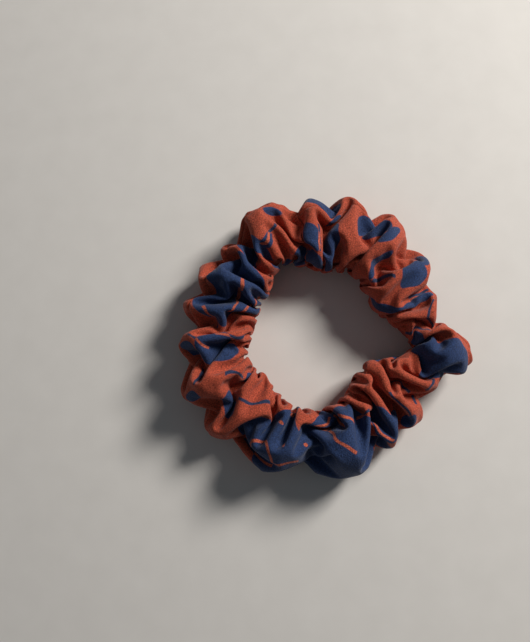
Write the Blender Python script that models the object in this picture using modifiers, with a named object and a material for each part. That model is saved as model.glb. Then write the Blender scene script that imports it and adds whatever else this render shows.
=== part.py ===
"""A gathered scrunchie lying flat: a hollow cloth cover round a lapped loop of flat elastic, with its sewing threads.

Metres, +Z up. The Z axis goes through the middle of the ring and the cover rests on z = 0. Angles round the ring
are in degrees from +X. "Around" is the angle round the tube's own section, from the outer side up over the top.
"""

from math import cos, exp, pi, radians, sin

import bmesh
import bpy
from mathutils import Matrix, Vector

# Driving dimensions
VALLEY_REACH = 0.0440  # from the ring's centre to the bottom of a valley between two gathers
TUBE_HEIGHT = 0.0255
VALLEY_HEIGHT_SHARE = 0.90
BASE_FLAT_DEPTH = 0.0012  # how much of the round underside is pressed flat
COVER_WALL = 0.0008
CLEARANCE = 0.0003  # between the halves, and between each piece and its neighbour

# Each gather: its place round the ring, the hole's edge there and how far it reaches, both from the ring's
# centre, and its half width in degrees
GATHERS = (
    (121, 0.0305, 0.0509, 22),
    (86, 0.0245, 0.0516, 14),
    (64, 0.0240, 0.0500, 14),
    (36, 0.0195, 0.0475, 14),
    (12, 0.0225, 0.0460, 14),
    (-5, 0.0270, 0.0525, 13),
    (-27, 0.0190, 0.0460, 12),
    (-52, 0.0170, 0.0475, 16),
    (-84, 0.0250, 0.0516, 18),
    (-115, 0.0280, 0.0505, 16),
    (-144, 0.0265, 0.0530, 12),
    (-161, 0.0295, 0.0530, 12),
    (-178, 0.0275, 0.0525, 12),
    (164, 0.0265, 0.0500, 13),
    (144, 0.0270, 0.0485, 12),
)
HOLE_EVENING = 14  # degrees over which the hole's edge runs from one gather's to the next one's

ELASTIC_SET_BACK = 0.0034  # from the hole's edge to the loop's inner face
ELASTIC_WIDTH = 0.0065
ELASTIC_THICKNESS = 0.0011
LAP_ANGLE = 24  # how far the elastic's ends lie over each other, 12 mm
LAP_RAMP_ANGLE = 30  # the stretch over which the outer end climbs onto the inner one
LAP_CENTRE_ANGLE = 180

THREAD_RADIUS = 0.000175
TACK_STITCHES = 7
TACK_STEP_ANGLE = 3
TACK_HALF_HEIGHT = 0.0020
TACK_HOLE_RADIUS = THREAD_RADIUS + CLEARANCE

SEAM_AROUND = 50  # the long seam shows on the upper outer side
SEAM_INSET = 0.0022
END_SEAM_ANGLE = 104
END_SEAM_INSET = 0.0016
CLOSING_SPAN = (112, 142)  # where the turning gap was
CLOSING_AROUND = 40
CLOSING_ZIGZAG = 3  # degrees around, to each side
CLOSING_STITCHES = 16

RING_SEGMENTS = 112
TUBE_SEGMENTS = 18
THREAD_POINTS = 90

MID_HEIGHT = TUBE_HEIGHT / 2 - BASE_FLAT_DEPTH
FARTHEST_REACH = max(gather[2] for gather in GATHERS)
LAP_LIFT = ELASTIC_THICKNESS + CLEARANCE


def smooth_step(value):
    value = min(max(value, 0), 1)
    return value * value * (3 - 2 * value)


def degrees_apart(angle, other):
    return abs((angle - other + 180) % 360 - 180)


def hole_at(angle):
    """How far the hole's edge stands from the ring's centre: the mean of the gathers' edges, the near ones first."""
    total = weights = 0
    for centre, edge, _, _ in GATHERS:
        weight = exp(-((degrees_apart(angle, centre) / HOLE_EVENING) ** 2))
        total += weight * edge
        weights += weight
    return total / weights


def reach_at(angle):
    """How far the cover's outer side stands from the ring's centre: the highest of the gathers there."""
    highest = 0
    for centre, _, reach, half_width in GATHERS:
        away = degrees_apart(angle, centre)
        if away < half_width:
            rise = cos(pi / 2 * away / half_width) ** 1.5
            highest = max(highest, (reach - VALLEY_REACH) * rise)
    return VALLEY_REACH + highest


def wall_point(angle, around, inset=0):
    """A point on the cover's outer wall, or inset under it."""
    reach = reach_at(angle)
    hole = hole_at(angle)
    puff = (reach - VALLEY_REACH) / (FARTHEST_REACH - VALLEY_REACH)
    half_width = (reach - hole) / 2
    half_height = TUBE_HEIGHT / 2 * (VALLEY_HEIGHT_SHARE + (1 - VALLEY_HEIGHT_SHARE) * puff)
    radius = hole + half_width + (half_width - inset) * cos(radians(around))
    height = half_height - BASE_FLAT_DEPTH + (half_height - inset) * sin(radians(around))
    return ring_point(angle, radius, max(height, inset))


def ring_point(angle, radius, height):
    return Vector((radius * cos(radians(angle)), radius * sin(radians(angle)), height))


def clear_scene():
    for thing in list(bpy.data.objects):
        bpy.data.objects.remove(thing, do_unlink=True)


def make_collection(name):
    collection = bpy.data.collections.new(name)
    bpy.context.scene.collection.children.link(collection)
    return collection


def make_material(name, colour, roughness):
    material = bpy.data.materials.new(name)
    material.use_nodes = True
    shader = material.node_tree.nodes["Principled BSDF"]
    shader.inputs["Base Color"].default_value = (*colour, 1)
    shader.inputs["Roughness"].default_value = roughness
    shader.inputs["Metallic"].default_value = 0
    return material


def add_part(name, data, material, parent):
    part = bpy.data.objects.new(name, data)
    part.parent = parent
    data.materials.clear()
    data.materials.append(material)
    parts.objects.link(part)
    return part


def cover_half(name, side, material, parent):
    """One half of the hollow tube, open at both ends: side is 1 for +X and -1 for -X."""
    bpy.ops.mesh.primitive_torus_add(
        major_segments=RING_SEGMENTS,
        minor_segments=TUBE_SEGMENTS,
        major_radius=VALLEY_REACH,
        minor_radius=TUBE_HEIGHT / 2,
    )
    torus = bpy.context.object
    shape = torus.data
    bpy.data.objects.remove(torus, do_unlink=True)
    shape.name = name

    body = bmesh.new()
    body.from_mesh(shape)
    for vertex in body.verts:
        flat = Vector((vertex.co.x, vertex.co.y, 0))
        angle = Vector((1, 0)).angle_signed(flat.to_2d(), 0) * -180 / pi
        section = Vector((flat.length - VALLEY_REACH, vertex.co.z))
        around = Vector((1, 0)).angle_signed(section, 0) * -180 / pi
        vertex.co = wall_point(angle, around)
    bmesh.ops.bisect_plane(
        body,
        geom=body.verts[:] + body.edges[:] + body.faces[:],
        plane_co=(side * CLEARANCE / 2, 0, 0),
        plane_no=(-side, 0, 0),
        clear_outer=True,
    )
    bmesh.ops.recalc_face_normals(body, faces=body.faces[:])
    body.to_mesh(shape)
    body.free()
    shape.shade_smooth()

    half = add_part(name, shape, material, parent)
    wall = half.modifiers.new("Wall", "SOLIDIFY")
    wall.thickness = COVER_WALL
    wall.offset = -1
    wall.use_even_offset = True
    return half


def thread(name, points, closed, material, parent):
    """A thread along these points, as a round tube with closed ends."""
    curve = bpy.data.curves.new(name, "CURVE")
    curve.dimensions = "3D"
    curve.bevel_depth = THREAD_RADIUS
    curve.bevel_resolution = 2
    curve.use_fill_caps = True
    line = curve.splines.new("POLY")
    line.points.add(len(points) - 1)
    for spot, point in zip(line.points, points):
        spot.co = (*point, 1)
    line.use_cyclic_u = closed
    return add_part(name, curve, material, parent)


def elastic_face(angle):
    """The inner face of the elastic's first turn, from the ring's centre."""
    return hole_at(angle) + ELASTIC_SET_BACK


def elastic_blank(parent):
    """The elastic as a flat outline in plan, extruded to its width: a loop whose outer end climbs onto its inner one."""
    start = LAP_CENTRE_ANGLE - LAP_ANGLE / 2
    turn = 360 + LAP_ANGLE
    steps = THREAD_POINTS
    inner, outer = [], []
    for step in range(steps + 1):
        gone = turn * step / steps
        face = elastic_face(start + gone)
        face += LAP_LIFT * smooth_step((gone - 360 + LAP_RAMP_ANGLE) / LAP_RAMP_ANGLE)
        inner.append(ring_point(start + gone, face, 0))
        outer.append(ring_point(start + gone, face + ELASTIC_THICKNESS, 0))

    outline = bpy.data.curves.new("elastic_outline", "CURVE")
    outline.dimensions = "2D"
    outline.fill_mode = "BOTH"
    outline.extrude = ELASTIC_WIDTH / 2
    edge = outline.splines.new("POLY")
    points = outer + inner[::-1]
    edge.points.add(len(points) - 1)
    for spot, point in zip(edge.points, points):
        spot.co = (*point, 1)
    edge.use_cyclic_u = True

    blank = bpy.data.objects.new("elastic_outline", outline)
    blank.location.z = MID_HEIGHT
    parts.objects.link(blank)
    bpy.context.view_layer.update()
    graph = bpy.context.evaluated_depsgraph_get()
    mesh = bpy.data.meshes.new_from_object(blank.evaluated_get(graph))
    mesh.name = "elastic"
    welded = bmesh.new()
    welded.from_mesh(mesh)
    bmesh.ops.remove_doubles(welded, verts=welded.verts, dist=0.000001)
    bmesh.ops.recalc_face_normals(welded, faces=welded.faces)
    welded.to_mesh(mesh)
    welded.free()
    place = blank.matrix_world.copy()
    bpy.data.objects.remove(blank, do_unlink=True)
    elastic = add_part("elastic", mesh, elastic_braid, parent)
    elastic.matrix_world = place
    return elastic


def tack_places():
    """Where each tack stitch goes through the lap: its angle and its height, up and down in turn."""
    first = LAP_CENTRE_ANGLE - TACK_STEP_ANGLE * (TACK_STITCHES - 1) / 2
    for number in range(TACK_STITCHES):
        height = MID_HEIGHT + TACK_HALF_HEIGHT * (1 if number % 2 else -1)
        yield first + number * TACK_STEP_ANGLE, height


def pierce(elastic):
    """Cuts the needle holes through both layers of the lap."""
    holes = bmesh.new()
    for angle, height in tack_places():
        middle = ring_point(angle, elastic_face(angle) + ELASTIC_THICKNESS, height)
        bmesh.ops.create_cone(
            holes,
            cap_ends=True,
            segments=12,
            radius1=TACK_HOLE_RADIUS,
            radius2=TACK_HOLE_RADIUS,
            depth=6 * ELASTIC_THICKNESS,
            matrix=Matrix.Translation(middle)
            @ Matrix.Rotation(radians(angle), 4, "Z")
            @ Matrix.Rotation(pi / 2, 4, "Y"),
        )
    shape = bpy.data.meshes.new("needle_holes")
    holes.to_mesh(shape)
    holes.free()
    cutter = bpy.data.objects.new("needle_holes", shape)
    cutter.hide_render = True
    cutter.display_type = "WIRE"
    cutters.objects.link(cutter)
    cut = elastic.modifiers.new("Needle holes", "BOOLEAN")
    cut.operation = "DIFFERENCE"
    cut.object = cutter


def tack_route():
    """Through each hole in turn, and slanting across one face of the lap to the next."""
    standoff = THREAD_RADIUS + CLEARANCE
    route = []
    for number, (angle, height) in enumerate(tack_places()):
        near = elastic_face(angle) - standoff
        far = elastic_face(angle) + LAP_LIFT + ELASTIC_THICKNESS + standoff
        sides = (far, near) if number % 2 else (near, far)
        route += [ring_point(angle, side, height) for side in sides]
    return route


def closing_route():
    """Small slanting stitches to and fro across the closed turning gap."""
    first, last = CLOSING_SPAN
    route = []
    for number in range(CLOSING_STITCHES + 1):
        angle = first + (last - first) * number / CLOSING_STITCHES
        side = CLOSING_ZIGZAG if number % 2 else -CLOSING_ZIGZAG
        route.append(wall_point(angle, CLOSING_AROUND + side, SEAM_INSET))
    return route


clear_scene()
parts = make_collection("scrunchie")
cutters = make_collection("cutters")

printed_crepe = make_material("printed_crepe", (0.48, 0.085, 0.035), 0.85)
elastic_braid = make_material("elastic_braid", (0.75, 0.73, 0.70), 0.80)
sewing_thread = make_material("sewing_thread", (0.30, 0.05, 0.03), 0.60)

left_side = bpy.data.objects.new("left_side", None)
right_side = bpy.data.objects.new("right_side", None)  # slides along +X as the scrunchie is stretched
parts.objects.link(left_side)
parts.objects.link(right_side)

cover_half("cover_left", -1, printed_crepe, left_side)
cover_half("cover_right", 1, printed_crepe, right_side)
pierce(elastic_blank(left_side))
thread("tack_thread", tack_route(), False, sewing_thread, left_side)
long_seam = [
    wall_point(360 * number / THREAD_POINTS, SEAM_AROUND, SEAM_INSET)
    for number in range(THREAD_POINTS)
]
thread("long_seam_thread", long_seam, True, sewing_thread, left_side)
end_seam = [
    wall_point(END_SEAM_ANGLE, 360 * number / TUBE_SEGMENTS, END_SEAM_INSET)
    for number in range(TUBE_SEGMENTS)
]
thread("end_seam_thread", end_seam, True, sewing_thread, left_side)
thread("closing_thread", closing_route(), False, sewing_thread, left_side)
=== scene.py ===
from math import cos, hypot, pi, radians, sin

import bmesh
import bpy
import numpy as np
from mathutils import Matrix, Vector


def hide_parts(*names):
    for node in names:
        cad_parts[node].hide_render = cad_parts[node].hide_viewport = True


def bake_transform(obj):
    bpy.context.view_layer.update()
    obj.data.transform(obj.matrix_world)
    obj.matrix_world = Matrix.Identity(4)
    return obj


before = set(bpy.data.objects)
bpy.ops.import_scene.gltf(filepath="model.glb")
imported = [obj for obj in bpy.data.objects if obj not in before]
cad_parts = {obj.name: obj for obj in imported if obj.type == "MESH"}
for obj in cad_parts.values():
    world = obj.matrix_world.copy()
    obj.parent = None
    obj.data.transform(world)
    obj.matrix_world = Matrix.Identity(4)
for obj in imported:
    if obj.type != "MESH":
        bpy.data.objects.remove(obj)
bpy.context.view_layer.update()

# Each gather: its place round the ring in degrees, its share of the cloth's length, then in
# millimetres the edge of the hole there, how far it reaches from the middle and how high it
# stands, and how full of air it is.
gathers = [
    (121, 44, 31.0, 54.0, 26, 1.0),
    (96, 24, 22.5, 54.5, 27, 1.0),
    (85, 30, 23.5, 54.5, 26, 1.0),
    (64, 32, 23.5, 53.0, 25, 1.2),
    (36, 30, 17.5, 49.0, 26, 1.0),
    (13, 26, 22.0, 42.5, 24, 1.0),
    (-10, 44, 32.5, 53.5, 25, 2.5),
    (-27, 22, 20.0, 45.0, 24, 1.0),
    (-42, 24, 15.5, 47.0, 25, 1.0),
    (-56, 24, 16.5, 49.5, 24, 1.0),
    (-84, 45, 25.0, 51.5, 26, 1.3),
    (-115, 42, 28.5, 53.0, 26, 1.3),
    (-143, 28, 26.5, 58.0, 24, 1.0),
    (-162, 32, 30.0, 57.0, 26, 1.0),
    (-178, 28, 27.0, 54.5, 25, 1.0),
    (-194, 28, 26.0, 54.5, 26, 1.0),
    (-207, 26, 26.0, 54.5, 26, 1.2),
    (-219, 18, 26.0, 53.0, 25, 1.0),
]

cloth = {
    "length": 0.450,  # sewn length of the strip, round the ring
    "width": 0.078,  # sewn width of the strip, round the tube
    "allowance": 0.007,
    "columns": 440,
    "rows": 76,
    "endSeamAngle": 104,
    "seamAngle": 120,  # where the long seam stands nearest the top
    "seamAround": 50,  # how far up from the outer side it is there
    "seamTwist": 110,  # how far the tube is turned on the ring's other side
    "seed": 4,
}

gathering = {
    "steps": 450,
    "passes": 5,
    "closeBy": 0.75,  # the share of the steps in which the ring closes
    "openBy": 0.014,  # how much wider the ring starts
    "waveHeight": 0.0035,
    "turned": 0.03,  # radians, how far the open tube's lines stray
    "smallWaves": 0.0006,
    "caughtIn": (0.0015, 0.0006),  # behind the edge of the hole, and how unevenly
    "thickness": 0.0010,  # how near two layers may come
    "shear": 0.25,
    "fold": 0.14,
    "wideFold": 0.06,
    "puff": 1.3e-6,
    "weight": 5e-7,
    "drag": 0.97,
    "rubbing": 0.7,
    "parting": 0.7,  # the share of an overlap that one step takes away
    "fastest": 0.2,  # the share of the thickness that a point may move in a step
    "hold": 0.08,  # how firmly the cloth stays inside its gathers' outline
    "pinch": 0.28,  # how far a valley is drawn in
    "valleyDrop": 0.005,
    "heightShares": (0.86, 0.14),  # of a valley's height, and what a full gather adds
    "evenedOver": 25,  # degrees
    "fullnessEvenedOver": 11,
    "pressedFlat": 0.001,  # of the round underside
    "floorGap": 0.0004,
    "roundness": 0.45,  # 1 is a pointed gather, 0 a square one
    "pleatColumns": (5, 13),  # from one catch on the elastic to the next
}

elastic = {
    "width": 0.0065,
    "thickness": 0.0011,
    "ribs": 5,
    "lap": 0.012,
    "lapAngle": 180,
    "lapRamp": 30,  # degrees over which the outer end climbs
    "layerGap": 0.0003,
    "standIn": 0.0030,  # behind the edge of the hole
    "height": 0.0100,
    "clearance": 0.0007,  # to the cloth round it
    "steps": 260,
    "ribDepth": 0.14,  # a share of the thickness
}


def say(text):
    print("scrunchie:", text, flush=True)


def smoothStep(value):
    value = np.clip(value, 0, 1)
    return value * value * (3 - 2 * value)


# The cloth's length is shared out between the gathers, from the middle of one valley to the next.
placeKnots = []
for number, gather in enumerate(gathers):
    following = gathers[number + 1][0] if number + 1 < len(gathers) else gathers[0][0] - 360
    placeKnots += [gather[0], (gather[0] + following) / 2]
placeKnots.insert(0, placeKnots[-1] + 360)
shares = np.array([gather[1] for gather in gathers], float)
shares *= cloth["length"] / shares.sum()
lengthKnots = np.concatenate([[0], np.cumsum(np.repeat(shares / 2, 2))])
endSeamLength = np.interp(-cloth["endSeamAngle"], -np.array(placeKnots), lengthKnots)


def placeOnRing(along):
    # The place round the ring, in degrees, of a length of cloth, and its phase in the gather.
    length = along + endSeamLength
    turns = np.floor(length / cloth["length"])
    length = length - turns * cloth["length"]
    place = np.interp(length, lengthKnots, placeKnots) - 360 * turns
    phase = np.interp(length, lengthKnots, np.arange(len(lengthKnots)) * pi)
    return place, phase


def roundTable(column, smoothing):
    # One measure of the gathers at every degree from -180 to 180, evened out.
    places = np.array([gather[0] for gather in gathers], float)
    values = np.array([gather[column] for gather in gathers], float)
    places = np.concatenate([places + 360, places, places - 360])[::-1]
    values = np.tile(values, 3)[::-1]
    table = np.interp(np.arange(-540, 541), places, values)
    window = np.hanning(smoothing + 2)[1:-1]
    table = np.convolve(table, window / window.sum(), "same")
    return table[360:721]


degrees = np.arange(-180, 181)
holeTable = roundTable(2, gathering["evenedOver"]) / 1000
valleyTable = roundTable(3, gathering["evenedOver"]) / 1000 - gathering["valleyDrop"]
fullTable = roundTable(5, gathering["fullnessEvenedOver"])
riseTable = np.zeros(361)
for number, gather in enumerate(gathers):
    before, after = placeKnots[2 * number], placeKnots[2 * number + 2]
    away = (degrees - gather[0] + 180) % 360 - 180
    half = np.where(away > 0, before - gather[0], gather[0] - after)
    bump = np.cos(np.clip(np.abs(away) / half, 0, 1) * pi / 2) ** gathering["roundness"]
    riseTable = np.maximum(riseTable, (gather[3] / 1000 - valleyTable) * bump)
reachTable = valleyTable + riseTable
low, more = gathering["heightShares"]
heightTable = roundTable(4, gathering["evenedOver"]) / 1000
heightTable = heightTable * (low + more * riseTable / riseTable.max())


def look(table, place):
    return np.interp((place + 180) % 360 - 180, degrees, table)


def smoothField(rng, shape, cells):
    # Random bumps, this many round each way, that join up at the ends.
    rough = np.fft.fft2(rng.normal(0, 1, cells))
    full = np.zeros(shape, complex)
    across = np.fft.fftfreq(cells[0], 1 / cells[0]).astype(int)
    down = np.fft.fftfreq(cells[1], 1 / cells[1]).astype(int)
    full[np.ix_(across % shape[0], down % shape[1])] = rough
    field = np.fft.ifft2(full).real
    return field / field.std()


class Cloth:
    # The sewn tube as a grid of points that closes on itself both ways, gathered step by step.

    def __init__(self):
        self.rng = np.random.default_rng(cloth["seed"])
        self.columns = cloth["columns"]
        self.rows = cloth["rows"]
        self.stepAlong = cloth["length"] / self.columns
        self.stepAcross = cloth["width"] / self.rows
        self.along = np.arange(self.columns) * self.stepAlong
        self.across = np.arange(self.rows) * self.stepAcross
        self.place, phase = placeOnRing(self.along)
        self.wave = -np.cos(phase)[:, None].astype(np.float32)  # 1 on a gather, -1 in a valley
        nearSeam = 0.5 + 0.5 * np.cos(np.radians(self.place - cloth["seamAngle"]))
        self.seam = cloth["seamAround"] - cloth["seamTwist"] * (1 - nearSeam)
        turn = 2 * pi * self.across / cloth["width"]
        self.around = (np.radians(self.seam)[:, None] + turn).astype(np.float32)
        self.puff = (gathering["puff"] * look(fullTable, self.place))[:, None, None]
        self.points = self.openTube()
        self.speed = np.zeros_like(self.points)
        self.links = self.makeLinks()
        self.catch()
        self.pairs = None

    def openTube(self):
        # An open, lightly waved tube, wider than the ring will be.
        shape = (self.columns, self.rows)
        outer = 0.5 + 0.5 * np.cos(self.around)
        tube = cloth["width"] / (2 * pi)
        turned = gathering["turned"] * smoothField(self.rng, shape, (40, 4)) * outer
        angle = np.radians(self.place)[:, None] + turned
        section = tube + gathering["waveHeight"] * (0.4 + 0.6 * outer) * self.wave
        section = section + gathering["smallWaves"] * smoothField(self.rng, shape, (90, 12))
        hole = look(holeTable, self.place)[:, None] + gathering["openBy"]
        radius = hole + tube + section * np.cos(self.around)
        height = tube + 0.001 + section * np.sin(self.around)
        points = np.stack([radius * np.cos(angle), radius * np.sin(angle), height], -1)
        return points.astype(np.float32)

    def catch(self):
        # The inner side is caught on the elastic at uneven steps, so that it pleats between them.
        inner = ((180 - self.seam) % 360) / 360 * self.rows
        inner = np.round(inner).astype(int) % self.rows
        caught = []
        column = 0
        while column < self.columns - 2:
            caught.append(column)
            column += int(self.rng.integers(*gathering["pleatColumns"]))
        rows = np.array([-1, 0, 1])
        self.caughtColumn = np.repeat(caught, 3)
        self.caughtRow = (inner[self.caughtColumn] + np.tile(rows, len(caught))) % self.rows
        self.catchStart = self.points[self.caughtColumn, self.caughtRow].copy()
        place = self.place[self.caughtColumn]
        angle = np.radians(place)
        behind, uneven = gathering["caughtIn"]
        radius = look(holeTable, place) + behind
        radius = radius + self.rng.normal(0, uneven, len(caught)).repeat(3)
        height = elastic["height"] - np.tile(rows, len(caught)) * self.stepAcross * 0.9
        end = np.stack([radius * np.cos(angle), radius * np.sin(angle), height], -1)
        self.catchEnd = end.astype(np.float32)

    def makeLinks(self):
        # Each link: steps along and across, its length, and how it answers a pull and a push.
        along, across = self.stepAlong, self.stepAcross
        slant = hypot(along, across)
        shear, fold, wide = gathering["shear"], gathering["fold"], gathering["wideFold"]
        return [
            (1, 0, along, 1, 1),
            (0, 1, across, 1, 1),
            (1, 1, slant, shear, shear),
            (1, -1, slant, shear, shear),
            (2, 0, 2 * along, 0, fold),
            (0, 2, 2 * across, 0, fold),
            (4, 0, 3 * along, 0, wide),
            (0, 4, 3 * across, 0, wide),
        ]

    def pullLinks(self):
        for along, across, length, pull, push in self.links:
            apart = np.roll(self.points, (-along, -across), (0, 1)) - self.points
            now = np.sqrt(np.einsum("ijk,ijk->ij", apart, apart)) + np.float32(1e-9)
            over = 1 - np.float32(length) / now
            over *= np.where(over > 0, np.float32(0.25 * pull), np.float32(0.25 * push))
            move = apart * over[..., None]
            self.points = self.points + move - np.roll(move, (along, across), (0, 1))

    def findPairs(self, points):
        # Every two points that are near each other but not neighbours in the cloth.
        reach = gathering["thickness"] * 1.4
        cell = ((points - points.min(0)) / reach).astype(np.int64) + 1
        size = cell.max(0) + 2
        key = (cell[:, 0] * size[1] + cell[:, 1]) * size[2] + cell[:, 2]
        order = np.argsort(key, kind="stable")
        key = key[order]
        count = np.bincount(key, minlength=int(np.prod(size + 1)))
        first = np.cumsum(count) - count
        number = np.arange(len(key))
        ones, others = [], []
        offsets = [(x, y, z) for x in (0, 1) for y in (-1, 0, 1) for z in (-1, 0, 1)]
        for x, y, z in offsets:
            offset = (x * size[1] + y) * size[2] + z
            if offset < 0:
                continue
            target = np.minimum(key + offset, len(count) - 1)
            begin = first[target] if offset else number + 1
            many = np.maximum(first[target] + count[target] - begin, 0)
            run = np.arange(many.sum()) - np.repeat(np.cumsum(many) - many - begin, many)
            ones.append(order[np.repeat(number, many)])
            others.append(order[run])
        one, other = np.concatenate(ones), np.concatenate(others)
        apart = points[one] - points[other]
        near = np.einsum("ij,ij->i", apart, apart) < reach * reach
        one, other = one[near], other[near]
        along = np.abs(one // self.rows - other // self.rows)
        along = np.minimum(along, self.columns - along) * self.stepAlong
        across = np.abs(one % self.rows - other % self.rows)
        across = np.minimum(across, self.rows - across) * self.stepAcross
        flat = np.hypot(along, across)
        keep = flat > gathering["thickness"] * 1.5
        limit = np.minimum(gathering["thickness"], flat[keep] * 0.6)
        return one[keep], other[keep], limit

    def keepApart(self):
        points = self.points.reshape(-1, 3)
        one, other, limit = self.pairs
        apart = points[one] - points[other]
        gap = np.sqrt(np.einsum("ij,ij->i", apart, apart)) + 1e-12
        hit = gap < limit
        one, other = one[hit], other[hit]
        move = (0.5 * (limit[hit] - gap[hit]) / gap[hit])[:, None] * apart[hit]
        many = len(points)
        for axis in range(3):
            push = np.bincount(one, move[:, axis], many) - np.bincount(other, move[:, axis], many)
            points[:, axis] += (gathering["parting"] * push).astype(np.float32)
        self.points = points.reshape(self.points.shape)
        met = np.bincount(one, minlength=many) + np.bincount(other, minlength=many)
        return met.reshape(self.points.shape[:2]) > 0

    def keepInside(self, closed):
        # What stands outside the gathers' outline is drawn back towards the middle of its section.
        x, y, z = np.moveaxis(self.points, -1, 0)
        place = np.degrees(np.arctan2(y, x))
        radius = np.hypot(x, y)
        spread = (1 - closed) * gathering["openBy"]
        valley = gathering["pinch"] * closed * np.maximum(-self.wave, 0) ** 3
        hole = look(holeTable, place) + spread
        half = (look(reachTable, place) + spread - hole) / 2 * (1 - valley)
        tall = look(heightTable, place) / 2 * (1 - valley)
        outX = (radius - hole - half) / half
        fromMiddle = z - tall + gathering["pressedFlat"]
        outZ = fromMiddle / tall
        out = np.sqrt(outX**2 + outZ**2) + 1e-9
        share = gathering["hold"] * np.clip(1 - 1 / out, 0, 1)
        wider = -share * (radius - hole - half)
        self.points[..., 0] += wider * x / radius
        self.points[..., 1] += wider * y / radius
        self.points[..., 2] -= share * fromMiddle

    def clearElastic(self, closed):
        # The elastic runs inside the tube, so each side of the cloth stays on its own side of it.
        x, y, z = np.moveaxis(self.points, -1, 0)
        place = np.degrees(np.arctan2(y, x))
        radius = np.hypot(x, y)
        hole = look(holeTable, place) + (1 - closed) * gathering["openBy"]
        fromX = radius - hole - elastic["standIn"] - elastic["thickness"]
        fromZ = z - elastic["height"]
        boxX = elastic["thickness"] + elastic["clearance"]
        boxZ = elastic["width"] / 2 + elastic["clearance"]
        leanX, leanZ = np.cos(self.around), np.sin(self.around)
        exitX = (np.sign(leanX) * boxX - fromX) / (leanX + np.sign(leanX) * 0.05)
        exitZ = (np.sign(leanZ) * boxZ - fromZ) / (leanZ + np.sign(leanZ) * 0.05)
        within = (np.abs(fromX) < boxX) & (np.abs(fromZ) < boxZ)
        push = np.where(within, np.minimum(exitX, exitZ), 0) * 0.5
        self.points[..., 0] += push * leanX * x / radius
        self.points[..., 1] += push * leanX * y / radius
        self.points[..., 2] += push * leanZ

    def move(self):
        along = np.roll(self.points, -1, 0) - np.roll(self.points, 1, 0)
        across = np.roll(self.points, -1, 1) - np.roll(self.points, 1, 1)
        out = np.cross(across, along)
        out /= np.linalg.norm(out, axis=-1, keepdims=True) + 1e-12
        self.speed = (self.speed * gathering["drag"] + self.puff * out).astype(np.float32)
        self.speed[..., 2] -= gathering["weight"]
        rate = np.linalg.norm(self.speed, axis=-1, keepdims=True) + 1e-12
        self.speed *= np.minimum(1, gathering["fastest"] * gathering["thickness"] / rate)
        self.points = self.points + self.speed

    def step(self, number):
        closed = float(smoothStep(number / (gathering["steps"] * gathering["closeBy"])))
        before = self.points
        self.move()
        for _ in range(gathering["passes"]):
            self.pullLinks()
            held = self.catchStart + (self.catchEnd - self.catchStart) * np.float32(closed)
            self.points[self.caughtColumn, self.caughtRow] = held
        self.keepInside(closed)
        self.clearElastic(closed)
        if number % 4 == 0:
            self.pairs = self.findPairs(self.points.reshape(-1, 3))
        met = self.keepApart()
        resting = self.points[..., 2] < gathering["floorGap"]
        self.points[..., 2] = np.maximum(self.points[..., 2], gathering["floorGap"])
        self.speed = self.points - before
        self.speed *= np.where(met | resting, gathering["rubbing"], 1)[..., None]

    def gather(self):
        for number in range(gathering["steps"]):
            self.step(number)
        return self


gathered = Cloth().gather()
say("cloth gathered on its elastic")

# The grid with its first column and row again at the end, where the seams close it.
grid = np.concatenate([gathered.points, gathered.points[:1]], 0).astype(float)
grid = np.concatenate([grid, grid[:, :1]], 1)
sectionMiddle = grid[:, :-1].mean(1, keepdims=True)

seams = {
    "crease": 0.0006,  # how deep the cloth dips at a seam
    "turnedIn": (0.0012, 0.0040, 0.0070),  # the rows of points of an allowance, from the seam
    "partedBy": 0.0003,  # between the two allowances
    "stitch": 0.0025,
    "depth": 0.0020,  # of the stitches, under the cloth
    "threadRadius": 0.00015,
    "closing": (112, 142),  # degrees round the ring, the gap that the tube was turned through
    "closingStitches": 16,
    "tackStitches": 7,
    "tackStep": 3,  # degrees
    "tackHalfHeight": 0.0020,
}


def unit(vectors):
    return vectors / (np.linalg.norm(vectors, axis=-1, keepdims=True) + 1e-12)


def under(points, middle, depth):
    # The points moved this far into the tube, and never past its middle.
    room = np.linalg.norm(middle - points, axis=-1, keepdims=True)
    return points + unit(middle - points) * np.minimum(depth, 0.6 * room)


def newPiece(name, mesh, finish):
    piece = bpy.data.objects.new(name, mesh)
    bpy.context.scene.collection.objects.link(piece)
    mesh.materials.clear()
    mesh.materials.append(finish)
    mesh.shade_smooth()
    return piece


def newMesh(name, points, faces):
    mesh = bpy.data.meshes.new(name)
    mesh.from_pydata(np.asarray(points).reshape(-1, 3).tolist(), [], faces)
    return mesh


def rounded(piece, levels):
    # Applies a subdivision surface, so that the piece is its final mesh.
    modifier = piece.modifiers.new("Smooth", "SUBSURF")
    modifier.levels = modifier.render_levels = levels
    graph = bpy.context.evaluated_depsgraph_get()
    final = bpy.data.meshes.new_from_object(piece.evaluated_get(graph))
    piece.modifiers.clear()
    piece.data = final
    return piece


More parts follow.
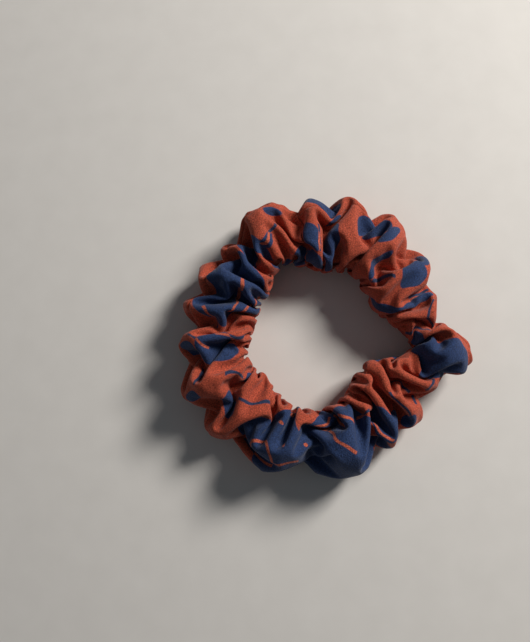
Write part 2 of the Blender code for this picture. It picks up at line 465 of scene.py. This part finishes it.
def coverMesh():
    # The whole cut strip: the sewn tube, and its seam allowances turned in along both seams.
    turnedIn = (0,) + seams["turnedIn"]
    extra = len(turnedIn) - 1
    columns, rows = gathered.columns, gathered.rows
    aside = unit(grid[:, 1] - grid[:, -2])
    ahead = unit(grid[1] - grid[-2])
    shape = (columns + 1 + 2 * extra, rows + 1 + 2 * extra)
    points = np.zeros(shape + (3,))
    flat = np.zeros(shape + (2,))
    for i in range(shape[0]):
        column = min(max(i - extra, 0), columns)
        pastColumn = (column + extra - i, i - extra - column)
        for j in range(shape[1]):
            row = min(max(j - extra, 0), rows)
            pastRow = (row + extra - j, j - extra - row)
            deepColumn = turnedIn[max(pastColumn)]
            deepRow = turnedIn[max(pastRow)]
            deep = hypot(deepColumn, deepRow)
            if row in (0, rows) or column in (0, columns):
                deep = max(deep, seams["crease"])
            spot = under(grid[column, row], sectionMiddle[column, 0], deep)
            if deepColumn:
                spot = spot + ahead[row] * seams["partedBy"] * np.sign(pastColumn[0])
            if deepRow:
                spot = spot + aside[column] * seams["partedBy"] * np.sign(pastRow[0])
            points[i, j] = spot
            flat[i, j, 0] = column * gathered.stepAlong - np.sign(pastColumn[0]) * deepColumn
            flat[i, j, 1] = row * gathered.stepAcross - np.sign(pastRow[0]) * deepRow
    flat += cloth["allowance"]
    index = np.arange(shape[0] * shape[1]).reshape(shape)
    faces = np.stack([index[:-1, :-1], index[:-1, 1:], index[1:, 1:], index[1:, :-1]], -1)
    notched = np.zeros(faces.shape[:2], bool)  # the corners, cut away to thin the seams' crossing
    notched[:extra] = True
    notched[-extra:] = True
    notched[:, extra:-extra] = False
    faces = faces[~notched]
    mesh = newMesh("cover", points, faces.tolist())
    layer = mesh.uv_layers.new(name="cutCloth")
    spots = flat.reshape(-1, 2)[faces.ravel()].astype(np.float32)
    layer.data.foreach_set("uv", spots.ravel())
    body = bmesh.new()
    body.from_mesh(mesh)
    loose = [vert for vert in body.verts if not vert.link_faces]
    bmesh.ops.delete(body, geom=loose, context="VERTS")
    body.to_mesh(mesh)
    body.free()
    return mesh


def sweptMesh(name, path, profile, up, closed=False):
    # A profile, given as steps aside and up, carried along the path, with flat ends.
    path = np.asarray(path, float)
    if closed:
        ahead = np.roll(path, -1, 0) - np.roll(path, 1, 0)
    else:
        ahead = np.gradient(path, axis=0)
    aside = unit(np.cross(unit(ahead), up))
    over = unit(np.cross(aside, ahead))
    profile = np.asarray(profile)
    rings = path[:, None] + profile[:, :1] * aside[:, None] + profile[:, 1:] * over[:, None]
    many, sides = len(path), len(profile)
    faces = []
    for ring in range(many if closed else many - 1):
        after = (ring + 1) % many
        for side in range(sides):
            beside = (side + 1) % sides
            corners = (ring, side), (ring, beside), (after, beside), (after, side)
            faces.append([r * sides + s for r, s in corners])
    if not closed:
        faces.append(list(range(sides))[::-1])
        faces.append(list(range((many - 1) * sides, many * sides)))
    mesh = newMesh(name, rings, faces)
    body = bmesh.new()
    body.from_mesh(mesh)
    bmesh.ops.recalc_face_normals(body, faces=body.faces)
    body.to_mesh(mesh)
    body.free()
    return mesh


def onRing(place, radius, height):
    angle = np.radians(place)
    return np.stack([radius * np.cos(angle), radius * np.sin(angle), height + 0 * angle], -1)


class Wire:
    # A socket that sums can be written with.

    def __init__(self, finish, socket):
        self.finish = finish
        self.socket = socket

    def maths(self, operation, *values):
        links = dict(enumerate(values))
        return self.finish.node("Math", {"operation": operation}, links)

    def __add__(self, other):
        return self.maths("ADD", self, other)

    def __radd__(self, other):
        return self.maths("ADD", other, self)

    def __sub__(self, other):
        return self.maths("SUBTRACT", self, other)

    def __rsub__(self, other):
        return self.maths("SUBTRACT", other, self)

    def __mul__(self, other):
        return self.maths("MULTIPLY", self, other)

    def __truediv__(self, other):
        return self.maths("DIVIDE", self, other)

    def __abs__(self):
        return self.maths("ABSOLUTE", self)

    def least(self, other):
        return self.maths("MINIMUM", self, other)

    def most(self, other):
        return self.maths("MAXIMUM", self, other)

    def held(self):
        return self.most(0.0).least(1.0)


class Finish:
    def __init__(self, name):
        self.material = bpy.data.materials.new(name)
        self.material.use_nodes = True
        self.tree = self.material.node_tree
        self.shader = self.tree.nodes["Principled BSDF"]

    def node(self, kind, settings=None, links=None, output=0):
        made = self.tree.nodes.new("ShaderNode" + kind)
        for name, value in (settings or {}).items():
            setattr(made, name, value)
        for name, value in (links or {}).items():
            self.feed(made.inputs[name], value)
        return Wire(self, made.outputs[output])

    def feed(self, socket, value):
        if isinstance(value, Wire):
            self.tree.links.new(value.socket, socket)
        elif socket.type == "RGBA":
            socket.default_value = (*value, 1)
        else:
            socket.default_value = value

    def noise(self, vector, scale, detail=2.0, output=0):
        links = {"Vector": vector, "Scale": scale, "Detail": detail}
        return self.node("TexNoise", {"noise_dimensions": "2D"}, links, output)

    def blend(self, share, first, second):
        return self.node("Mix", {"data_type": "RGBA"}, {0: share, 6: first, 7: second}, output=2)

    def shade(self, amount, colour):
        links = {0: 1.0, 6: colour, 7: amount}
        return self.node("Mix", {"data_type": "RGBA", "blend_type": "MULTIPLY"}, links, output=2)

    def set(self, values):
        for name, value in values.items():
            self.feed(self.shader.inputs[name], value)


dyes = {
    "rust": (0.39, 0.064, 0.031),
    "navy": (0.016, 0.037, 0.112),
    "rustLine": (0.46, 0.095, 0.050),
    "navyLine": (0.020, 0.034, 0.088),
}

# The print, in millimetres of cloth: a shape's middle along and across the strip, its half
# length and half width, and its turn in degrees.
navyPrintAndPaintedShade = [
    (9, 29.5, 6.5, 3, 20),
    (10, 20, 3.8, 6, 0),
    (25, 10.5, 3, 3.5, 0),
    (29, 26, 11, 4.2, -65),
    (44, 12.5, 4.5, 4, 10),
    (53, 16, 7, 3.3, -10),
    (61.5, 16, 2, 5, 10),
    # This oval is navy print in a deep valley, laid there partly as painted shade that darkens the
    # valley.
    (67.5, 27, 8, 1.5, 80),
    (85.5, 22, 4.5, 6.5, 0),
    (84, 10, 2.8, 7, 0),
    (89, 37, 8, 1.8, -38),
    (101, 29, 8, 2.3, -28),
    (123, 45.5, 3.5, 3, -35),
    (145, 38, 10.5, 13.5, 0),
    (135.5, 47, 2, 7, 15),
    (159.7, 28.5, 1.8, 5, 0),
    (188.5, 26.5, 4, 2.6, -25),
    (200, 30.5, 6, 4, -20),
    (206, 34, 6, 8.5, 0),
    (208, 18, 3, 3, 0),
    (216.5, 24, 4, 2.2, 0),
    (250, 30, 33, 24, 0),
    (283, 26, 6, 10, 0),
    (306.5, 23.5, 8, 4.2, -18),
    (312.5, 37, 1.8, 3.2, 0),
    (319, 12.5, 2.4, 3.8, 0),
    (331.5, 31, 6, 2.6, 66),
    (343, 23, 7.5, 6, 0),
    (341.5, 11, 4.5, 6, 10),
    (386, 21, 25, 16, 0),
    (415, 17, 5, 6.5, -20),
    (422, 31.5, 4, 1.8, -45),
    (429, 22, 2.3, 7.5, -12),
    (433, 20.8, 4, 1.6, -8),
    (440.5, 32.5, 3, 1.8, 0),
    (451, 30.5, 5, 6.5, 0),
    (442.5, 9.3, 4.5, 1.6, 0),
    (60, 62, 16, 8, 20),
    (120, 74, 20, 9, -10),
    (172, 70, 12, 12, 0),
    (305, 66, 14, 9, 30),
    (350, 62, 16, 10, -15),
    (415, 68, 20, 9, 10),
    (20, 78, 10, 8, 0),
    (240, 76, 18, 10, 0),
]
rustShapes = [
    (259.5, 48, 4, 9, 5),
    (248, 42, 2.2, 1.8, -30),
    (286, 42, 5, 8, 0),
    (415, 28.5, 5.5, 6, 0),
    (402, 9, 8, 2.2, 5),
    (384, 8, 5, 2, 0),
]
# Thin lines change colour where they cross from one ground to the other: here a line's two
# ends, and how far it bows out to its left between them.
lines = [
    (11.5, 26, 14, 14, 0.3),
    (69, 34.5, 81, 28.5, -1),
    (97, 27, 102.5, 17.5, 0.3),
    (108.5, 28, 112, 33.5, 0.5),
    (112, 33.5, 118, 33, 0.4),
    (117, 50, 119.5, 43, -0.3),
    (119.5, 43, 125, 38.5, -0.5),
    (160.5, 32, 168, 32.5, 0.3),
    (174, 33, 177.5, 42.5, -0.5),
    (175.5, 29, 180.5, 28.5, 0.3),
    (184.5, 40, 187, 29.5, -0.5),
    (205.5, 26.5, 211, 33, -0.5),
    (220, 43.5, 228, 45, 0.8),
    (232, 42, 236.5, 48.5, -0.6),
    (233, 34.5, 247, 42, -0.8),
    (238, 44, 247, 49.5, -0.5),
    (249, 49, 254, 44, 0.5),
    (259.5, 27, 269.5, 25, 0.8),
    (269, 21, 282, 13, -1.5),
    (291, 37, 302.5, 30, 0.8),
    (315, 34.5, 320.5, 27.5, 0.8),
    (323, 17, 333, 16, 0.5),
    (343, 21, 348.5, 13.5, 0.3),
    (350, 34.5, 350, 23, -2),
    (366.5, 25.5, 392, 21.5, -0.8),
    (369, 28.5, 382, 29, 0.5),
    (359, 18, 369, 12.5, 0.8),
    (383, 31, 390, 30, 0.8),
    (430.5, 21, 439, 17, 1),
]
rings = [(274.3, 26, 5), (350, 70, 9)]  # thin circles: the middle and the radius
dots = [(274.3, 39), (267.7, 33.2), (270.5, 46), (256, 33), (248, 24)]

crepe = {
    "lineWidth": 1.05,
    "dotRadius": 0.75,
    "bleed": 0.22,  # how soft the print's edges are
    "wander": 5.0,  # how far the hand-drawn edges stray
    "wanderSize": 13,
    "pebble": 0.50,
    "yarn": (0.28, 1.0),  # thickness and length of a crinkled yarn
    "grainShares": (0.35, 0.65),  # of yarns and of pebbles
    "grainMean": 0.68,
    "grainSpread": 0.3,
    "relief": 0.75,
    "reliefDepth": 0.0004,
    "mottle": 0.36,
}


def crepeFinish():
    made = Finish("printedCrepe")
    uv = made.node("UVMap", {"uv_map": "cutCloth"})
    flat = made.node("VectorMath", {"operation": "SCALE"}, {0: uv, "Scale": 1000.0})  # millimetres
    drift = made.noise(flat, 1 / crepe["wanderSize"], 1.5, output=1)
    drift = made.node("VectorMath", {"operation": "SUBTRACT"}, {0: drift, 1: (0.5, 0.5, 0.5)})
    links = {0: drift, 1: (crepe["wander"], crepe["wander"], 0), 2: flat}
    drawn = made.node("VectorMath", {"operation": "MULTIPLY_ADD"}, links)

    def fromSpot(x, y, radius):
        # How far outside a circle, in millimetres, and less than 0 inside it.
        links = {0: drawn, 1: (x, y, 0)}
        return made.node("VectorMath", {"operation": "DISTANCE"}, links, output=1) - radius

    def fromOval(x, y, halfLength, halfWidth, turn):
        links = {"Vector": drawn, "Location": (x, y, 0), "Rotation": (0, 0, radians(turn))}
        links["Scale"] = (halfLength, halfWidth, 100)
        placed = made.node("Mapping", {"vector_type": "TEXTURE"}, links)
        size = made.node("VectorMath", {"operation": "LENGTH"}, {0: placed}, output=1)
        narrow = min(halfLength, halfWidth)
        return made.node("Math", {"operation": "MULTIPLY_ADD"}, {0: size, 1: narrow, 2: -narrow})

    def fromDot(x, y):
        return fromSpot(x, y, crepe["dotRadius"])

    def fromRing(x, y, radius):
        return abs(fromSpot(x, y, radius)) - crepe["lineWidth"] / 2

    def fromLine(x1, y1, x2, y2, bow):
        # Part of a wide ring: the part that a circle round the line's middle takes in.
        chord = hypot(x2 - x1, y2 - y1)
        radius = (chord**2 / 4 + bow**2) / (2 * abs(bow))
        side = (radius - abs(bow)) * (1 if bow > 0 else -1) / chord
        middle = (x1 + x2) / 2, (y1 + y2) / 2
        centre = middle[0] + side * (y2 - y1), middle[1] - side * (x2 - x1)
        return fromRing(*centre, radius).most(fromSpot(*middle, chord / 2))

    def printed(drawShape, shapes):
        # 1 on the shapes and 0 off them. Each is joined to the rest as soon as it is drawn.
        nearest = drawShape(*shapes[0])
        for shape in shapes[1:]:
            nearest = nearest.least(drawShape(*shape))
        return (0.5 - nearest / crepe["bleed"]).held()

    rust = printed(fromOval, rustShapes)
    # The navy mask holds the print, and the painted shade of one deep valley.
    navy = printed(fromOval, navyPrintAndPaintedShade) * (1 - rust)
    line = printed(fromLine, lines).most(printed(fromRing, rings)).most(printed(fromDot, dots))
    ground = made.blend(navy, dyes["rust"], dyes["navy"])
    lineColour = made.blend(navy, dyes["navyLine"], dyes["rustLine"])
    colour = made.blend(line, ground, lineColour)

    thin, long = crepe["yarn"]
    warp = made.node("Mapping", None, {"Vector": flat, "Scale": (1 / long, 1 / thin, 1)})
    weft = made.node("Mapping", None, {"Vector": flat, "Scale": (1 / thin, 1 / long, 1)})
    yarns = made.noise(warp, 1.0, 1.0) + made.noise(weft, 1.0, 1.0)
    pebbles = made.noise(flat, 1 / crepe["pebble"], 2.0)
    yarnShare, pebbleShare = crepe["grainShares"]
    grain = yarns * yarnShare + pebbles * pebbleShare
    shadeOf = 1 + (grain - crepe["grainMean"]) * (2 * crepe["mottle"] / crepe["grainSpread"])
    tone = made.node("CombineColor", None, {0: shadeOf, 1: shadeOf, 2: shadeOf})
    links = {"Strength": crepe["relief"], "Distance": crepe["reliefDepth"], "Height": grain}
    made.set(
        {
            "Base Color": made.shade(tone, colour),
            "Roughness": 0.8,
            "Normal": made.node("Bump", None, links),
            "Sheen Weight": 0.12,
            "Sheen Roughness": 0.5,
            "Specular IOR Level": 0.25,
        }
    )
    return made.material


braid = {
    "yarns": 1400.0,  # to the metre
    "uneven": 0.35,
    "light": (0.80, 0.78, 0.74),
    "dark": (0.60, 0.58, 0.54),
    "relief": 0.5,
}


def braidFinish():
    # Off-white braided elastic, its yarns lying as small squares.
    made = Finish("elasticBraid")
    links = {"Vector": made.node("NewGeometry"), "Scale": braid["yarns"]}
    links["Randomness"] = braid["uneven"]
    yarns = made.node("TexVoronoi", {"distance": "CHEBYCHEV"}, links)
    tone = made.blend((yarns * 1.2).held(), braid["light"], braid["dark"])
    links = {"Strength": braid["relief"], "Distance": 0.0003, "Height": 1 - yarns}
    bump = made.node("Bump", None, links)
    made.set({"Base Color": tone, "Roughness": 0.75, "Normal": bump, "Specular IOR Level": 0.3})
    return made.material


spun = {
    "twist": 5000.0,  # to the metre
    "light": (0.36, 0.065, 0.038),
    "dark": (0.20, 0.030, 0.018),
    "relief": 0.3,
}


def threadFinish():
    # Spun polyester, dark rust, with the twist showing as fine light and dark.
    made = Finish("sewingThread")
    links = {"Vector": made.node("NewGeometry"), "Scale": spun["twist"], "Detail": 1.0}
    twist = made.node("TexNoise", None, links)
    tone = made.blend(twist, spun["dark"], spun["light"])
    bump = made.node("Bump", None, {"Strength": spun["relief"], "Distance": 0.0001, "Height": twist})
    made.set({"Base Color": tone, "Roughness": 0.55, "Normal": bump})
    return made.material


cover = rounded(newPiece("cover", coverMesh(), crepeFinish()), 1)
say("cover cut, printed and sewn")


def elasticFace(place):
    # The inner face of the elastic's first turn, from the ring's middle.
    return look(holeTable, place) + elastic["standIn"]


def elasticLoop():
    # A flat ribbed braid on edge, whose outer end climbs onto its inner one.
    half = elastic["thickness"] / 2
    lap = np.degrees(elastic["lap"] / elasticFace(elastic["lapAngle"]))
    turn = np.linspace(0, 360 + lap, elastic["steps"])
    lift = elastic["thickness"] + elastic["layerGap"]
    climb = lift * smoothStep((turn - 360 + elastic["lapRamp"]) / elastic["lapRamp"])
    place = elastic["lapAngle"] - lap / 2 + turn
    path = onRing(place, elasticFace(place) + half + climb, elastic["height"])
    many = 4 * elastic["ribs"] + 1
    up = np.linspace(-1, 1, many) * elastic["width"] / 2
    ribs = np.abs(np.sin(np.linspace(0, pi * elastic["ribs"], many)))
    ribbed = half * (1 - elastic["ribDepth"] * (1 - ribs))
    face = np.stack([ribbed, up], -1)
    back = np.stack([-ribbed, up], -1)[::-1]
    return sweptMesh("elastic_loop", path, np.concatenate([face, back]), (0, 0, 1))


def threadProfile():
    angles = np.arange(8) * pi / 4
    return seams["threadRadius"] * np.stack([np.cos(angles), np.sin(angles)], -1)


def curved(points, steps, closed=False):
    # A smooth run of points through these ones.
    points = np.asarray(points)
    many = len(points)
    if closed:
        before, after, beyond = np.roll(points, 1, 0), np.roll(points, -1, 0), np.roll(points, -2, 0)
    else:
        numbers = np.arange(many - 1)
        before = points[np.maximum(numbers - 1, 0)]
        after = points[numbers + 1]
        beyond = points[np.minimum(numbers + 2, many - 1)]
        points = points[:-1]
    t = (np.arange(steps) / steps)[None, :, None]
    one, two = points[:, None], after[:, None]
    slopeOne = (two - before[:, None]) / 2
    slopeTwo = (beyond[:, None] - one) / 2
    run = one + slopeOne * t
    run = run + (3 * (two - one) - 2 * slopeOne - slopeTwo) * t**2
    run = run + (2 * (one - two) + slopeOne + slopeTwo) * t**3
    return run.reshape(-1, 3)


def seamStitches(line, middle, sideways):
    # A run of stitches under a seam, that goes from one allowance to the other and back.
    spots = under(line, middle, seams["depth"])
    length = np.linalg.norm(np.roll(line, -1, 0) - line, axis=-1).mean()
    every = max(1, round(seams["stitch"] / 2 / length))
    chosen = np.arange(0, len(line) - every + 1, every)
    sides = np.where(np.arange(len(chosen)) % 2, 1, -1)[:, None]
    return curved(spots[chosen] + sideways[chosen] * sides * seams["partedBy"], 4, closed=True)


def closingStitches():
    # Hand stitches to and fro over the long seam, where the turning gap was closed.
    first, last = seams["closing"]
    inSpan = (gathered.place >= first) & (gathered.place <= last)
    inSpan |= (gathered.place + 360 >= first) & (gathered.place + 360 <= last)
    span = np.flatnonzero(inSpan)
    span = span[np.argsort((gathered.place[span] - first) % 360)]
    chosen = span[np.linspace(0, len(span) - 1, seams["closingStitches"] + 1).round().astype(int)]
    rows = np.where(np.arange(len(chosen)) % 2, 2, gathered.rows - 2)
    return curved(under(grid[chosen, rows], sectionMiddle[chosen, 0], seams["depth"]), 4)


def tackStitches():
    # Through the elastic's lap and back, in a zigzag up and down.
    standoff = seams["threadRadius"] + elastic["layerGap"]
    first = elastic["lapAngle"] - seams["tackStep"] * (seams["tackStitches"] - 1) / 2
    route = []
    for number in range(seams["tackStitches"]):
        place = first + number * seams["tackStep"]
        up = seams["tackHalfHeight"] * (1 if number % 2 else -1)
        near = elasticFace(place) - standoff
        far = elasticFace(place) + 2 * elastic["thickness"] + elastic["layerGap"] + standoff
        sides = (far, near) if number % 2 else (near, far)
        route += [onRing(place, side, elastic["height"] + up) for side in sides]
    return curved(route, 4)


loop = newPiece("elastic_loop", elasticLoop(), braidFinish())
say("elastic lapped")

sewn = threadFinish()
profile = threadProfile()
asideSeam = unit(grid[:-1, 1] - grid[:-1, -2])
aheadSeam = unit(grid[1, :-1] - grid[-2, :-1])
longRoute = seamStitches(grid[:-1, 0], sectionMiddle[:-1, 0], asideSeam)
endRoute = seamStitches(grid[0, :-1], sectionMiddle[0], aheadSeam)
# Each thread's up is a direction that it never runs in.
longMesh = sweptMesh("long", longRoute, profile, (0.05, 0.03, 1.0), closed=True)
endMesh = sweptMesh("end", endRoute, profile, (0.9, 0.4, 0.1), closed=True)
closingMesh = sweptMesh("closing", closingStitches(), profile, (0.05, 0.03, 1.0))
tackMesh = sweptMesh("tack", tackStitches(), profile, (0.1, 1.0, 0.2))
longSeam = newPiece("long_seam_stitching", longMesh, sewn)
endSeam = newPiece("end_seam_stitching", endMesh, sewn)
closing = newPiece("closing_stitches", closingMesh, sewn)
tack = newPiece("tack_stitches", tackMesh, sewn)
say("seams, closing and tack stitched")

standIns = [
    (cover, "printed_crepe", ["cover_left", "cover_right"]),
    (loop, "elastic_braid", ["elastic"]),
    (longSeam, "sewing_thread", ["long_seam_thread"]),
    (endSeam, "sewing_thread", ["end_seam_thread"]),
    (closing, "sewing_thread", ["closing_thread"]),
    (tack, "sewing_thread", ["tack_thread"]),
]
for piece, slot, nodes in standIns:
    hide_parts(*nodes)
    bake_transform(piece)

view = {
    "focal": 36.3,
    "elevation": 81,
    "distance": 0.2285,
    "aside": 0.0980,
    "below": 0.0190,
    "aim": 0.012,
}

room = {
    "window": ((0.50, 0.42, 0.48), 0.24, 7.6, (1.0, 0.96, 0.91)),  # place, size, watts, colour
    "fill": ((-0.6, -0.3, 0.6), 0.8, 0.2, (0.9, 0.95, 1.0)),
    "sky": (0.85, 0.92, 1.0),
    "skyStrength": 0.08,
    "floor": ((0.70, 0.68, 0.65), (0.76, 0.74, 0.71)),
}


def addCamera():
    tilt = radians(view["elevation"])
    ahead = Vector((0, cos(tilt), -sin(tilt)))
    right = Vector((1, 0, 0))
    up = right.cross(ahead)
    offset = ahead + right * view["aside"] - up * view["below"]
    place = Vector((0, 0, view["aim"])) - offset * view["distance"]
    data = bpy.data.cameras.new("camera")
    data.lens = view["focal"]
    data.clip_start = 0.01
    camera = bpy.data.objects.new("camera", data)
    bpy.context.scene.collection.objects.link(camera)
    turn = Matrix((right, up, -ahead)).transposed().to_4x4()
    camera.matrix_world = Matrix.Translation(place) @ turn
    bpy.context.scene.camera = camera


def addLight(name):
    place, size, watts, colour = room[name]
    data = bpy.data.lights.new(name, "AREA")
    data.size = size
    data.energy = watts
    data.color = colour
    light = bpy.data.objects.new(name, data)
    light.location = place
    light.rotation_euler = (-Vector(place)).to_track_quat("-Z", "Y").to_euler()
    bpy.context.scene.collection.objects.link(light)


def addFloor():
    bpy.ops.mesh.primitive_plane_add(size=4)
    floor = bpy.context.object
    floor.name = "floor"
    made = Finish("paleFloor")
    speck = made.node("TexNoise", None, {"Scale": 400.0, "Detail": 2.0})
    made.set({"Base Color": made.blend(speck, *room["floor"]), "Roughness": 0.9})
    floor.data.materials.append(made.material)


def addSky():
    sky = bpy.data.worlds.new("sky")
    sky.use_nodes = True
    background = sky.node_tree.nodes["Background"]
    background.inputs["Color"].default_value = (*room["sky"], 1)
    background.inputs["Strength"].default_value = room["skyStrength"]
    bpy.context.scene.world = sky
    bpy.context.scene.view_settings.view_transform = "Standard"


addCamera()
addLight("window")
addLight("fill")
addFloor()
addSky()
say("camera, lights and floor set")
